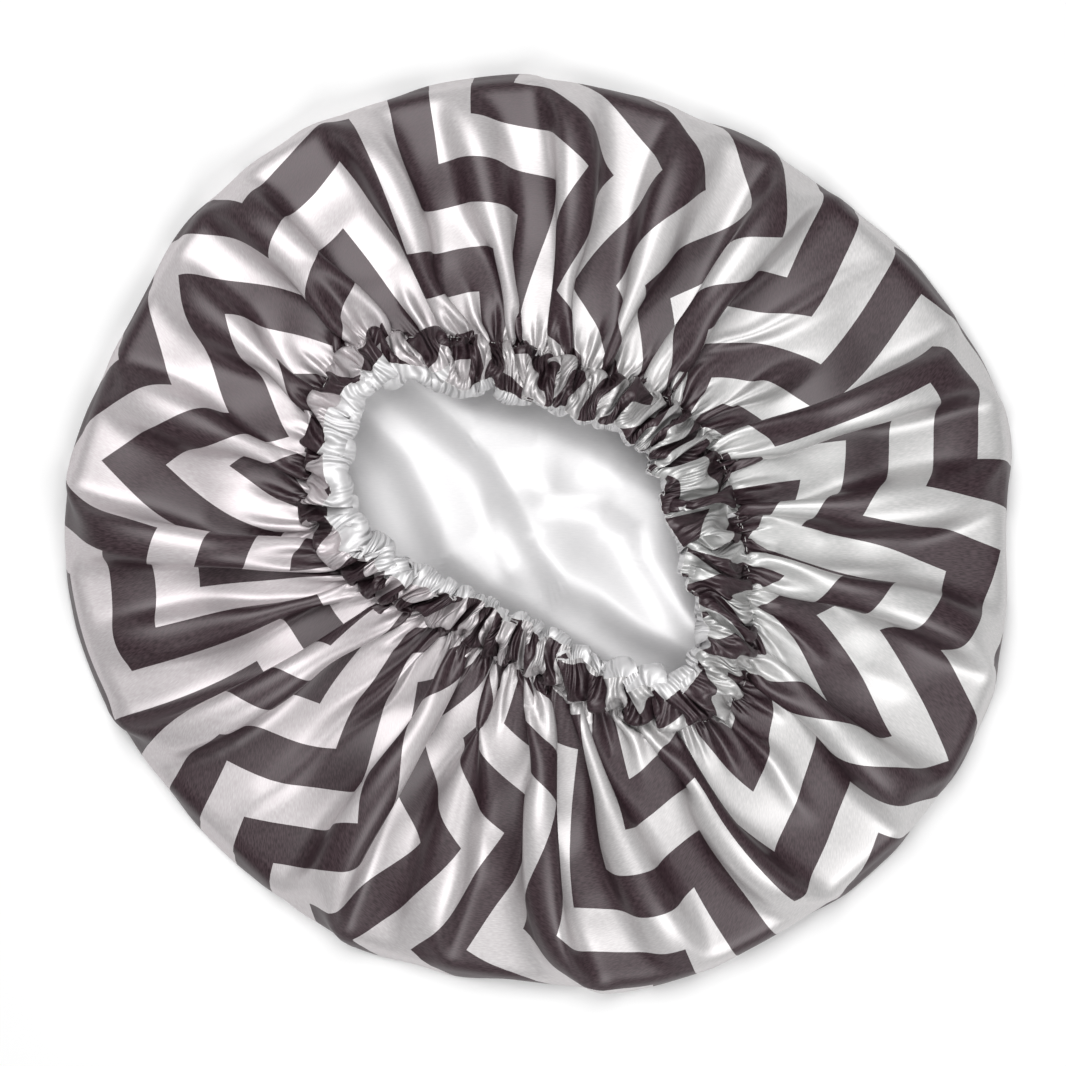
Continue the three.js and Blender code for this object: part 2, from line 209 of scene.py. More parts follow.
def overlapped(angle, valley_off, half_width, depth, full):
    """Turns a ring's directions so that the cloth runs on past each valley, back under itself and on again."""
    back = depth * (full - 1) * half_width / (2 * full)
    forward = (half_width + full * back) / (half_width - back)
    within = np.abs(valley_off) <= back
    beyond = np.sign(valley_off) * (forward * (np.abs(valley_off) - back) - full * back)
    turned = np.where(within, -full * valley_off, beyond)
    return angle + softened(turned - valley_off), within


first_half = fold_share < 0.5
valley_off = np.where(first_half, fold_share, fold_share - 1) * fold_width
depths = np.abs(np.where(first_half, overlaps[fold], overlaps[fold + 1]))
starts_at, ends_at = -np.sign(overlaps[fold]), np.sign(overlaps[fold + 1])
layer = starts_at + (ends_at - starts_at) * fold_share ** 2 * (3 - 2 * fold_share)
for ring in range(CROWN_RINGS, SEAM):
    full = 1 + fullness[ring].mean()
    fading = min(1, (SEAM - ring) / (OVERLAP_FADE * SKIRT_RINGS))
    angle, within = overlapped(rim_angle, valley_off, fold_width / 2, depths * fading, full)
    for axis in range(3):
        net[ring, :, axis] = np.interp(angle, rim_angle, net[ring, :, axis], period=2 * math.pi)
    lifted = min(1, 2 * (full - 1)) * fading
    net[ring, :, 2] += LAYER_HEIGHT * lifted * (1 + softened(np.where(within & (depths > 0), 0, layer)))

gather_turn = 2 * math.pi * (GATHERS * round_seam + wander((.35, 3, 1), (.5, 7, 2.1), (.45, 17, .4), (.3, 29, 4)))
gather_size = 1 + wander((.3, 5, 1.2), (.3, 13, 3))
gather_wave = np.cos(gather_turn) * gather_size
half_fold_wave = np.cos(gather_turn / 2 + HALF_FOLD_START)
sideways = np.c_[-np.sin(seam_angle), np.cos(seam_angle), 0 * seam_angle]
off_tube = np.c_[outwards * tube_up[:, None], -tube_out]

share = np.clip((np.arange(RINGS) - CROWN_RINGS) / SKIRT_RINGS, 0, 1)[:, None]
folding = np.sin(math.pi * share) * (share < 1)
shaken = np.random.default_rng(7).normal(size=net.shape) * UNEVENNESS
net[:, :, 2] += folding * FOLD_HEIGHT * (0.1 - 0.5 * np.cos(fold_turn))
net[:, :, 2] += (share < 1) * HALF_FOLD_HEIGHT * np.clip(share - HALF_FOLDS_FROM, 0, 1) * half_fold_wave
net[:, :, 2] += (share < 1) * GATHER_HEIGHT * np.clip(share - GATHERS_FROM, 0, 1) / GATHERS_RUN * np.cos(gather_turn)
net += (folding * FOLD_LEAN * np.sin(fold_turn))[..., None] * sideways + shaken * ((share > 0) & (share < 1))[..., None]

pinched = off_tube * (STITCHED_HEIGHT * gather_wave)[:, None]
pinched += sideways * (STITCHED_SWAY * STITCHED_HEIGHT * np.sin(2 * gather_turn))[:, None]
net[SEAM] += pinched + SEAM_OUTSIDE * off_tube
net[-1] += pinched - SEAM_INSIDE * off_tube
tube_height = np.full(COLUMNS, 0.5 * (seam_height + mouth_height))
tube_centre = np.c_[outwards * (0.5 * (seam_radius + mouth_radius))[:, None], tube_height]
for ring in range(SEAM + 1, RINGS - 1):
    away = net[ring] - tube_centre
    away /= np.linalg.norm(away, axis=1)[:, None]
    part = (ring - SEAM) / (RINGS - 1 - SEAM)
    near_seam = min(1, 6 * min(part, 1 - part))
    net[ring] += away * (near_seam * (gather_wave + PUFF))[:, None]
    net[ring] += sideways * (near_seam * PUFF_SWAY * np.sin(2 * gather_turn))[:, None]

# Printed outer cloth, how it settles
# The cloth grows from its laid length to its full length bit by bit and buckles into its folds, as gathered satin
# does. Threads keep their length, the cloth resists sharp bends, layers push apart, and it slides on the lining.
SETTLING_STEPS = 330
GROWING_SHARE = 0.7                     # of the steps, after which the cloth has its full length
TIGHTEST = 0.8                          # share of the laid length
THREAD_PULL, SLANT_PULL, BEND_PULL = 0.9, 0.35, 0.1
EASE_OVER_8, EASE_OVER_16 = 0.97, 0.95
LAYER_GAP, LAYER_PUSH = 1.2, 0.35
PAIR_REACH, PAIRS_EVERY = 2.2, 6
HELD_RINGS = [0, 1, 2, SEAM, RINGS - 1]
SKIRT, CASING = slice(3, SEAM), slice(SEAM + 1, RINGS - 1)
KEEPS_SPEED = 0.95
TOP_SPEED = 0.8
WEIGHT = 0.022
GRIP = 0.25
SKIRT_SMOOTHINGS, CASING_SMOOTHINGS = 12, (0.5, 0.5, -0.5)
CURL_ROUND = RIM_ROUND - 0.35
LINING_SAG = 1.5
LUMP_HEIGHT = 0.7
LUMP_WAVES = ((0.11, 0.05, 0.3), (-0.06, 0.12, 1.7), (0.09, -0.11, 2.9), (0.14, 0.02, 4.1), (-0.03, 0.15, 5.2))
CORE_ABOVE, CORE_BELOW, CORE_HALF_WIDTH = 3.6, 2.2, 9.5


def draw(first, second, length, strength, only_apart=False):
    """Moves pairs of points together or apart, towards the length between them."""
    gap = second - first
    now = np.sqrt(np.einsum("...k,...k->...", gap, gap)) + 1e-6
    pull = 0.5 * strength * (1 - length / now)
    if only_apart:
        pull = np.minimum(pull, 0)
    gap *= pull[..., None]
    first += gap
    second -= gap


def draw_round(cloth, lengths, apart, strength, only_apart=False):
    """Draws every point of a ring to the one that is so many columns on."""
    for start in (0, apart):
        pairs = np.roll(cloth, -start, axis=1).reshape(RINGS, -1, 2, apart, 3)
        spans = np.roll(lengths, -start, axis=1).reshape(RINGS, -1, 2, apart)[:, :, 0]
        draw(pairs[:, :, 0], pairs[:, :, 1], spans, strength, only_apart)
        cloth[:] = np.roll(pairs.reshape(cloth.shape), start, axis=1)


def draw_in(cloth, lengths, apart, strength):
    """Draws every point of a column to the one that is so many rings on."""
    for start in range(2 * apart):
        second = cloth[start + apart::2 * apart]
        first = cloth[start:RINGS - apart:2 * apart][:len(second)]
        draw(first, second, lengths[start:RINGS - apart:2 * apart][:len(second)], strength)


def draw_slanting(cloth, lengths, strength):
    """Draws both diagonals of every mesh of the net."""
    for start in (0, 1):
        second = cloth[start + 1::2]
        for side in (-1, 1):
            beside = np.roll(second, side, axis=1)
            draw(cloth[start:RINGS - 1:2][:len(second)], beside, lengths[start:RINGS - 1:2][:len(second)], strength)
            second[:] = np.roll(beside, -side, axis=1)


def close_pairs(cloth):
    """Pairs of points that are near each other in space but not in the net, from a sorted list of cells."""
    points = cloth.reshape(-1, 3)
    cells = np.floor(points / PAIR_REACH).astype(np.int64) + 1000
    keys = (cells[:, 0] * 4096 + cells[:, 1]) * 4096 + cells[:, 2]
    order = np.argsort(keys, kind="stable")
    keys = keys[order]
    pairs = []
    for right, up in ((0, 0), (0, 1), (1, -1), (1, 0), (1, 1)):
        shift = (right * 4096 + up) * 4096
        low = np.searchsorted(keys, keys + shift - 1, "left") if shift else np.arange(len(keys)) + 1
        count = np.searchsorted(keys, keys + shift + 1, "right") - low
        for nth in range(int(count.max())):
            some = np.nonzero(count > nth)[0]
            pairs.append((order[some], order[low[some] + nth]))
    first, second = (np.concatenate(side) for side in zip(*pairs))
    columns_off = np.abs(first % COLUMNS - second % COLUMNS)
    apart = (np.minimum(columns_off, COLUMNS - columns_off) > 3) | (np.abs(first // COLUMNS - second // COLUMNS) > 3)
    first, second = first[apart], second[apart]
    gap = points[first] - points[second]
    near = np.einsum("ij,ij->i", gap, gap) < PAIR_REACH ** 2
    return first[near], second[near]


def push_off(cloth, first, second):
    """Pushes layers that touch a cloth's thickness apart."""
    points = cloth.reshape(-1, 3)
    gap = points[second] - points[first]
    square = np.einsum("ij,ij->i", gap, gap)
    touching = square < LAYER_GAP ** 2
    first, second, gap = first[touching], second[touching], gap[touching]
    distance = np.sqrt(square[touching]) + 1e-6
    move = (LAYER_PUSH * (LAYER_GAP - distance) / distance)[:, None] * gap
    for axis in range(3):
        points[:, axis] += np.bincount(second, move[:, axis], len(points)).astype(np.float32)
        points[:, axis] -= np.bincount(first, move[:, axis], len(points)).astype(np.float32)


def rest_on_lining(cloth):
    """Keeps the skirt above the lining that it lies on, and the casing clear of the elastic. Returns what touches."""
    skirt = cloth[SKIRT]
    radius = np.hypot(skirt[..., 0], skirt[..., 1])
    angle = np.arctan2(skirt[..., 1], skirt[..., 0])
    height = skirt[..., 2]
    curl = reach(rim_line, angle) - RIM_ROUND
    part = np.clip((curl - radius) / (curl - reach(seam_line, angle)), 0, 1.2)
    swell = np.sin(math.pi * np.clip(part, 0, 1))
    lining = 2 * RIM_ROUND - 0.3 + (seam_height - 2 * RIM_ROUND - 1) * part - LINING_SAG * swell ** 2
    lumps = sum(np.sin(skirt[..., 0] * kx + skirt[..., 1] * ky + start) for kx, ky, start in LUMP_WAVES)
    lining = lining + LUMP_HEIGHT * np.maximum(lumps + 1.5, 0) * swell
    sunk = (radius < curl) & (height > RIM_ROUND) & (height < lining)
    height = np.where(sunk, lining, height)
    out, up = radius - curl, height - RIM_ROUND
    distance = np.hypot(out, up) + 1e-6
    inside = (out >= 0) & (distance < CURL_ROUND)
    grow = np.where(inside, CURL_ROUND / distance, 1)
    skirt[..., :2] *= np.where(inside, (curl + out * grow) / np.maximum(radius, 1), 1)[..., None]
    skirt[..., 2] = np.maximum(np.where(inside, RIM_ROUND + up * grow, height), 0)

    casing = cloth[CASING]
    radius = np.hypot(casing[..., 0], casing[..., 1])
    angle = np.arctan2(casing[..., 1], casing[..., 0])
    seam, mouth = reach(seam_line, angle), reach(mouth_line, angle)
    half = 0.5 * np.hypot(seam - mouth, mouth_height - seam_height)
    out, up = (mouth - seam) / (2 * half), (mouth_height - seam_height) / (2 * half)
    beside, above = radius - 0.5 * (seam + mouth), casing[..., 2] - 0.5 * (seam_height + mouth_height)
    across, off = beside * out + above * up, beside * up - above * out
    core_width, core_height = np.minimum(half - 1.5, CORE_HALF_WIDTH), np.where(off > 0, CORE_ABOVE, CORE_BELOW)
    round_elastic = np.hypot(across / core_width, off / core_height) + 1e-6
    grow = np.maximum(1, 1 / round_elastic)
    across, off = across * grow, off * grow
    casing[..., :2] *= ((0.5 * (seam + mouth) + across * out + off * up) / np.maximum(radius, 1))[..., None]
    casing[..., 2] = 0.5 * (seam_height + mouth_height) + across * up - off * out
    return sunk | inside


from_seam = np.clip((SEAM - np.arange(RINGS)) / SKIRT_RINGS, 0, 1).astype(np.float32)[:, None, None]
stiff_over_4 = 0.03 + 0.08 * np.clip(2 * from_seam, 0, 1)
stiff_over_8 = 0.12 * np.clip(2.5 * (from_seam - 0.12), 0, 1)
stiff_over_16 = 0.12 * np.clip(2.5 * (from_seam - 0.3), 0, 1)
cloth = net.astype(np.float32)
before = cloth.copy()
seeded_spacing = np.linalg.norm(np.roll(net, -1, axis=1) - net, axis=2)
laid_spacing = np.clip(seeded_spacing, TIGHTEST * laid_spacing, full_spacing)
held = cloth[HELD_RINGS].copy()
laid_spacing, full_spacing, ring_spacing = (x.astype(np.float32) for x in (laid_spacing, full_spacing, ring_spacing))
for step in range(SETTLING_STEPS):
    grown = min(1, (step + 1) / (GROWING_SHARE * SETTLING_STEPS))
    spacing = laid_spacing + (full_spacing - laid_spacing) * np.float32(grown * grown * (3 - 2 * grown))
    over_2 = spacing + np.roll(spacing, -1, axis=1)
    over_4 = over_2 + np.roll(over_2, -2, axis=1)
    over_8 = over_4 + np.roll(over_4, -4, axis=1)
    over_16 = over_8 + np.roll(over_8, -8, axis=1)
    slant = np.hypot(0.5 * (spacing[:-1] + spacing[1:]), ring_spacing)
    moving = (cloth - before) * np.float32(KEEPS_SPEED)
    moving *= np.minimum(1, TOP_SPEED / (np.sqrt(np.einsum("...k,...k->...", moving, moving)) + 1e-6))[..., None]
    before[:] = cloth
    moving[SKIRT, :, 2] -= WEIGHT
    cloth += moving
    if step % PAIRS_EVERY == 0:
        first, second = close_pairs(cloth)
    for turn in range(2):
        draw_round(cloth, spacing, 1, THREAD_PULL)
        draw_in(cloth, ring_spacing, 1, THREAD_PULL)
        draw_slanting(cloth, slant, SLANT_PULL)
        draw_round(cloth, over_2, 2, BEND_PULL)
        draw_round(cloth, over_4, 4, stiff_over_4, only_apart=True)
        if turn == 0:
            draw_round(cloth, over_8 * EASE_OVER_8, 8, stiff_over_8, only_apart=True)
            draw_round(cloth, over_16 * EASE_OVER_16, 16, stiff_over_16, only_apart=True)
        draw_in(cloth, ring_spacing[:-1] + ring_spacing[1:], 2, BEND_PULL)
        push_off(cloth, first, second)
        cloth[HELD_RINGS] = held
    touching = rest_on_lining(cloth)
    cloth[HELD_RINGS] = held
    cloth[SKIRT, :, :2] += (before - cloth)[SKIRT, :, :2] * (GRIP * touching)[..., None]

clear_of_seam = np.clip(2 * (from_seam[SKIRT] - 0.08), 0, 1)
for rings, weights in ((cloth[SKIRT], [0.5 * clear_of_seam] * SKIRT_SMOOTHINGS), (cloth[CASING], CASING_SMOOTHINGS)):
    for weight in weights:
        rings += weight * (0.5 * (np.roll(rings, 1, axis=1) + np.roll(rings, -1, axis=1)) - rings)

# Printed outer cloth, the piece
# The settled net from the middle of the crown to the mouth edge is the printed cloth. Its flat shape is kept with it,
# so that the print and the weave run over folds and into gathers as they do on cloth that was printed flat.
MIDDLE_SHARES = (0.03, 0.07, 0.12, 0.17, 0.22, 0.28, 0.34, 0.40, 0.46, 0.52, 0.58, 0.64, 0.70, 0.76, 0.82, 0.88, 0.94)
MIDDLE_THINNING = (16, 16, 16, 8, 8, 8, 4, 4, 4, 4, 2, 2, 2, 2, 2, 1, 1)
MIDDLE_HEIGHT, RIPPLE_HEIGHT = 0.4, 0.3
FAR_FROM_SEAM = 200.0


def knit(name, rings, flats, to_seam, start=None, end=None):
    """A mesh of rings, each with as many points as the one before, twice or half as many, closed by a middle point.
    Two maps go with it: its flat shape, and how far each point is from the seam."""
    points, marks, faces, first = list(np.concatenate(rings)), list(np.concatenate(flats)), [], 0
    seam_marks = [(away, 0) for ring, away in zip(rings, to_seam) for _ in ring]
    for near, far in zip(rings, rings[1:]):
        a, b, other = len(near), len(far), first + len(near)
        if a == b:
            faces += [(first + k, first + (k + 1) % a, other + (k + 1) % a, other + k) for k in range(a)]
        for k in range(min(a, b) if a != b else 0):
            if b > a:
                low, mid, high = other + 2 * k, other + 2 * k + 1, other + (2 * k + 2) % b
                here, on = first + k, first + (k + 1) % a
                faces += [(here, mid, low), (here, on, mid), (on, high, mid)]
            else:
                low, mid, high = first + 2 * k, first + 2 * k + 1, first + (2 * k + 2) % a
                here, on = other + k, other + (k + 1) % b
                faces += [(low, mid, here), (mid, on, here), (mid, high, on)]
        first = other
    for middle, ring_start, count, flip in ((start, 0, len(rings[0]), True), (end, first, len(rings[-1]), False)):
        if middle is not None:
            for k in range(count):
                pair = (ring_start + k, ring_start + (k + 1) % count)
                faces.append((len(points), pair[1], pair[0]) if flip else (pair[0], pair[1], len(points)))
            points.append(np.array(middle[0]))
            marks.append(np.array(middle[1]))
            seam_marks.append((to_seam[0 if flip else -1], 0))
    mesh = bpy.data.meshes.new(name)
    mesh.from_pydata((np.array(points) * 0.001).tolist(), [], faces)
    corners = np.zeros(len(mesh.loops), dtype=np.int32)
    mesh.loops.foreach_get("vertex_index", corners)
    for title, values in (("flat", marks), ("seam", seam_marks)):
        mesh.uv_layers.new(name=title).data.foreach_set("uv", (np.array(values)[corners] * 0.001).ravel())
    mesh.shade_smooth()
    piece = bpy.data.objects.new(name, mesh)
    bpy.context.collection.objects.link(piece)
    return piece


flat_shape = flat_radius[..., None] * np.c_[np.cos(rim_angle), np.sin(rim_angle)]
middle_rings, middle_flats = [], []
for share, thinning in zip(MIDDLE_SHARES, MIDDLE_THINNING):
    ring = cloth[0, ::thinning] * share
    waves = np.sin(0.05 * ring[:, 0] + 0.09 * ring[:, 1]) * np.cos(0.08 * ring[:, 0] - 0.03 * ring[:, 1])
    ring[:, 2] = RIPPLE_HEIGHT * (1 - share) * (1 + waves)
    middle_rings.append(ring)
    middle_flats.append(flat_shape[0, ::thinning] * share)
ring_steps = np.where(np.arange(RINGS) < SEAM, (skirt_length / SKIRT_RINGS).mean(), ring_spacing[SEAM:].mean())
from_seam_line = (np.arange(RINGS) - SEAM) * ring_steps
outer_cloth = knit("outer_cloth", middle_rings + list(cloth[:EDGE + 1]), middle_flats + list(flat_shape[:EDGE + 1]),
                   [-FAR_FROM_SEAM] * len(middle_rings) + list(from_seam_line[:EDGE + 1]),
                   start=((0, 0, MIDDLE_HEIGHT), (0, 0)))


# Printed satin
# A smooth satin of fine thread with a dark plum-charcoal chevron printed on silver white. The floats of the weave all
# run one way, so the sheen is broad and soft, and close to the surface the weave shows as fine slanting ribs.
def operator(name, other_first=False):
    """An operator of Wire that adds one Math node."""
    def apply(self, other):
        sides = {int(other_first): self, int(not other_first): other}
        return self.tree.node("ShaderNodeMath", {"operation": name}, sides)
    return apply


class Wire:
    """A socket that values and other sockets are reckoned with."""
    __add__, __radd__ = operator("ADD"), operator("ADD", True)
    __sub__, __rsub__ = operator("SUBTRACT"), operator("SUBTRACT", True)
    __mul__, __rmul__ = operator("MULTIPLY"), operator("MULTIPLY", True)
    __truediv__, __rtruediv__ = operator("DIVIDE"), operator("DIVIDE", True)
    __lt__, __gt__ = operator("LESS_THAN"), operator("GREATER_THAN")
    lower_of, wrapped_in = operator("MINIMUM"), operator("FLOORED_MODULO")

    def __init__(self, tree, socket):
        self.tree, self.socket = tree, socket

    def other(self, name):
        """Another output of the same node."""
        return Wire(self.tree, self.socket.node.outputs[name])


class Tree:
    """A node tree that nodes are added to."""
    def __init__(self, made):
        self.made = made

    def node(self, kind, settings=None, values=None, out=0):
        """Adds a node with its settings, then the values or wires of its sockets. Returns one output as a Wire."""
        node = self.made.nodes.new(kind)
        for name, value in (settings or {}).items():
            setattr(node, name, value)
        for name, value in (values or {}).items():
            if isinstance(value, Wire):
                self.made.links.new(value.socket, node.inputs[name])
            else:
                node.inputs[name].default_value = value
        return Wire(self, node.outputs[out]) if len(node.outputs) else node


def colour_mix(tree, share, first, second):
    """A colour between two colours."""
    return tree.node("ShaderNodeMix", {"data_type": "RGBA"}, {0: share, 6: first, 7: second}, out=2)


def finish(name, build):
    """A material whose tree is one Principled shader, with the sockets that build returns for a tree."""
    material = bpy.data.materials.new(name)
    material.use_nodes = True
    material.node_tree.nodes.clear()
    tree = Tree(material.node_tree)
    shader = tree.node("ShaderNodeBsdfPrincipled", values=build(tree))
    tree.node("ShaderNodeOutputMaterial", values={"Surface": shader})
    return material


CHEVRON_SLOPE = (0.899, 0.438)
CHEVRON_REPEAT, CHEVRON_START = 0.0813, 0.172
STRIPE_REPEAT, STRIPE_START = 0.0454, 0.0055
DARK_DYE = (0.014, 0.004, 0.007, 1)
DARK_DYE_WORN = (0.054, 0.031, 0.038, 1)
PALE_CLOTH = (0.57, 0.58, 0.57, 1)
# Painted warm light: the pale stripes turn to this pinker tint towards the left of the flat disc.
PALE_CLOTH_WARM_LIT = (0.60, 0.54, 0.56, 1)
PALE_FLOAT = (0.74, 0.72, 0.72, 1)
SHEEN_TINT = (1.0, 0.945, 0.96, 1)
WEAVE_PITCH, WEAVE_DEPTH, LINING_WEAVE_DEPTH = 0.00045, 0.00006, 0.00005
THREAD_GRAIN = (420, 2800)
CREASES, CREASE_DEPTH, CREASE_REACH, CREASE_WANDERING = 300, 0.0007, 0.005, 3


def plain_noise(tree, place, detail):
    """A noise over the flat cloth."""
    values = {"Vector": place, "Scale": 1.0, "Detail": detail}
    return tree.node("ShaderNodeTexNoise", {"noise_dimensions": "2D"}, values)


def satin_weave(tree, x, y):
    """The height of the slanting floats of a satin weave, and a mottling of single threads."""
    rib = ((x * 0.94 + y * 0.34) / WEAVE_PITCH).wrapped_in(1.0)
    cross = ((y * 0.94 - x * 0.34) / (WEAVE_PITCH * 5)).wrapped_in(1.0)
    along = tree.node("ShaderNodeCombineXYZ", values={0: x * THREAD_GRAIN[0], 1: y * THREAD_GRAIN[1]})
    mottle = plain_noise(tree, along, 2.0)
    return rib.lower_of(1 - rib) * 0.6 + cross.lower_of(1 - cross) * 0.4 + mottle * 0.8, mottle


def gathered_creases(tree, x, y):
    """The height of the fine creases that run across the gathered casing and a little way out into the skirt."""
    away = tree.node("ShaderNodeSeparateXYZ", values={0: tree.node("ShaderNodeUVMap", {"uv_map": "seam"})})
    place = tree.node("ShaderNodeCombineXYZ", values={0: x * 45, 1: y * 45})
    wandering = plain_noise(tree, place, 1.0)
    round_disc = tree.node("ShaderNodeMath", {"operation": "ARCTAN2"}, {0: y, 1: x})
    wave = (round_disc * (CREASES / math.tau) + wandering * CREASE_WANDERING).wrapped_in(1.0)
    crease = tree.node("ShaderNodeMath", {"operation": "SINE"}, {0: wave * math.tau})
    fading = tree.node("ShaderNodeMath", {"operation": "EXPONENT"}, {0: away.lower_of(0.0) / CREASE_REACH})
    return crease * fading * wandering


def satin_surface(tree, x, y, weave, strength, depth):
    """The normal of a satin: its weave over the creases of the gathers."""
    creased = tree.node("ShaderNodeBump", values={"Height": gathered_creases(tree, x, y), "Distance": CREASE_DEPTH})
    values = {"Height": weave, "Strength": strength, "Distance": depth, "Normal": creased}
    return tree.node("ShaderNodeBump", values=values)


def flat_place(tree):
    """Where a point of the cloth lies on the flat disc."""
    x = tree.node("ShaderNodeSeparateXYZ", values={0: tree.node("ShaderNodeUVMap", {"uv_map": "flat"})})
    return x, x.other("Y")


def printed_satin(tree):
    x, y = flat_place(tree)
    along, across = CHEVRON_SLOPE
    u = x * along - y * across
    v = x * across + y * along
    zigzag = ((v + CHEVRON_START) / CHEVRON_REPEAT).wrapped_in(1.0)
    stripe = ((u - zigzag.lower_of(1 - zigzag) * CHEVRON_REPEAT - STRIPE_START) / STRIPE_REPEAT).wrapped_in(1.0)
    pale = stripe < 0.5
    weave, mottle = satin_weave(tree, x, y)
    speckle = (mottle - 0.36) * 3.6
    dark = colour_mix(tree, speckle, DARK_DYE, DARK_DYE_WORN)
    # Painted warm light: the pale colour turns pinker towards the left of the flat disc, a tint that stands in for warm
    # light on that side.
    light = colour_mix(tree, 0.5 - x * 1.8, PALE_CLOTH, PALE_CLOTH_WARM_LIT)
    light = colour_mix(tree, speckle * 0.5, light, PALE_FLOAT)
    return {"Base Color": colour_mix(tree, pale, dark, light), "Roughness": 0.38 + mottle * 0.15,
            "Metallic": pale * 0.4, "Specular IOR Level": 0.8, "Specular Tint": SHEEN_TINT,
            "Normal": satin_surface(tree, x, y, weave, 0.25, WEAVE_DEPTH)}


printed_satin_finish = finish("printed_satin_finish", printed_satin)
outer_cloth.data.materials.append(printed_satin_finish)
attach(outer_cloth, "root")
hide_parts("outer_crown", "outer_skirt", "outer_casing")


# White satin lining
# A second disc of plain white satin, sewn to the printed one at the mouth. It lines the casing, runs out under the
# skirt to the rim and back over the crown, where it lies in loose soft ridges that show through the mouth.
LINING_INSET = 1.4
UNDER_SKIRT_RINGS, CURL_RINGS = 16, 6
UNDER_SEAM = 1.6
HANGING_FOLDS = 8.0
LINING_GATHERS, LINING_GATHERS_END = 0.8, 1.8
FLOOR_LAYER = 1.2
FLOOR_SHARES = np.r_[0.98:0.56:-0.03, 0.55:0.01:-0.0135]
SHALLOW_SIDE = 1.2
# Each ridge has its height, its width and the line that it runs along.
RIDGES = (
    (9.0, 8.5, ((-60, 68), (-37, 48.7), (-15.9, 29.5), (-9.5, 19.4), (3.3, -4.4), (11.5, -14.5), (24.3, -20.9),
                (39, -31.8), (52.7, -40.1), (61.9, -44.7), (88, -60))),
    (6.5, 9.0, ((-75, 62), (-57.1, 40.4), (-45.2, 28.5), (-37, 12.1), (-29.6, -6.2), (-15.9, -17.2), (-2.2, -24.5),
                (10.6, -33.7), (40, -52))),
    (7.0, 8.0, ((7, 15.7), (25.3, 13.9), (39, 4.8), (42.6, -8.1), (50.9, -20.9), (58.2, -31.8), (80, -48))),
    (4.5, 10.0, ((-40, 62), (-20.5, 44), (2.2, 39.5), (20.5, 30.4), (32.6, 19.4), (60, 8))),
    (1.6, 3.5, ((-15, 12), (-13.2, -2.5), (-9, -13))),
)
WHITE_SATIN, WHITE_SATIN_FLOAT = (0.76, 0.755, 0.765, 1), (0.84, 0.83, 0.835, 1)


def floor_height(points):
    """How high the lining stands over the crown, as the sum of soft ridges along listed lines."""
    height = np.full(len(points), FLOOR_LAYER)
    for rise, width, line in RIDGES:
        line = np.array(line, dtype=float)
        nearest, side = np.full(len(points), np.inf), np.zeros(len(points))
        for start, end in zip(line, line[1:]):
            span = (end - start) / np.linalg.norm(end - start)
            part = np.clip((points - start) @ span, 0, np.linalg.norm(end - start))
            off = points - start - part[:, None] * span
            distance = np.linalg.norm(off, axis=1) + 1e-6
            side = np.where(distance < nearest, (span[0] * off[:, 1] - span[1] * off[:, 0]) / distance, side)
            nearest = np.minimum(nearest, distance)
        height += rise * np.exp(-(nearest / (width * (1 + SHALLOW_SIDE * 0.5 * (1 + side)))) ** 2)
    fading = np.clip((140 - np.linalg.norm(points, axis=1)) / 40, 0, 1)
    return FLOOR_LAYER + (height - FLOOR_LAYER) * fading


half_net = slice(None, None, 2)
lining_rings = list(cloth[EDGE:])
lining_flats = list(flat_shape[EDGE:])
lining_from_seam = list(-(np.arange(EDGE, RINGS) - (RINGS - 1)) * ring_spacing[EDGE:].mean())
lining_curl = RIM_ROUND - LINING_INSET
for ring in range(1, UNDER_SKIRT_RINGS + 1):
    share = ring / UNDER_SKIRT_RINGS
    swell = math.sin(math.pi * share)
    ground = seam_points * (1 - share) + (rim_points + inwards * RIM_ROUND) * share
    height = 2 * RIM_ROUND - LINING_INSET + (seam_height - 2 * RIM_ROUND - UNDER_SEAM) * (1 - share)
    gather = gather_wave * max(0, 1 - LINING_GATHERS_END * share) * LINING_GATHERS
    broad = np.cos(fold_turn) * swell ** 0.7 * 0.5 + half_fold_wave * (share * (1 - share) * 1.2)
    height = height - LINING_SAG * swell ** 2 - HANGING_FOLDS * (0.45 + 0.35 * (gather + broad))
    lining_from_seam.append(-share * skirt_length.mean())
    lining_rings.append(np.c_[ground, height])
    lining_flats.append(flat_shape[SEAM] * (1 - share) + flat_shape[CROWN_RINGS] * share)
for ring in range(1, CURL_RINGS + 1):
    turn = math.pi * ring / CURL_RINGS
    depth = RIM_ROUND - lining_curl * math.sin(turn)
    height = FLOOR_LAYER + (2 * RIM_ROUND - LINING_INSET - FLOOR_LAYER) * 0.5 * (1 + math.cos(turn))
    lining_rings.append(np.c_[rim_points + inwards * depth, np.full(COLUMNS, height)][half_net])
    lining_flats.append((flat_shape[CROWN_RINGS] * (1 - 0.02 * ring))[half_net])
last_ring, last_flat = lining_rings[-1], lining_flats[-1]
for share in FLOOR_SHARES:
    thinning = 1 if share > 0.2 else 2 if share > 0.1 else 4
    ground = last_ring[::thinning, :2] * share
    lining_rings.append(np.c_[ground, floor_height(ground)])
    lining_flats.append(last_flat[::thinning] * share)
lining_from_seam += [-FAR_FROM_SEAM] * (len(lining_rings) - len(lining_from_seam))
lining_middle = (0, 0, floor_height(np.zeros((1, 2)))[0])
lining = knit("lining", lining_rings, lining_flats, lining_from_seam, end=(lining_middle, (0, 0)))


def white_satin(tree):
    x, y = flat_place(tree)
    weave, mottle = satin_weave(tree, x, y)
    return {"Base Color": colour_mix(tree, mottle, WHITE_SATIN, WHITE_SATIN_FLOAT), "Roughness": 0.48 + mottle * 0.12,
            "Metallic": 0.38, "Specular IOR Level": 0.6,
            "Normal": satin_surface(tree, x, y, weave, 0.2, LINING_WEAVE_DEPTH)}


lining.data.materials.append(finish("white_satin_finish", white_satin))
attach(lining, "root")
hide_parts("lining_crown", "lining_skirt", "lining_casing")
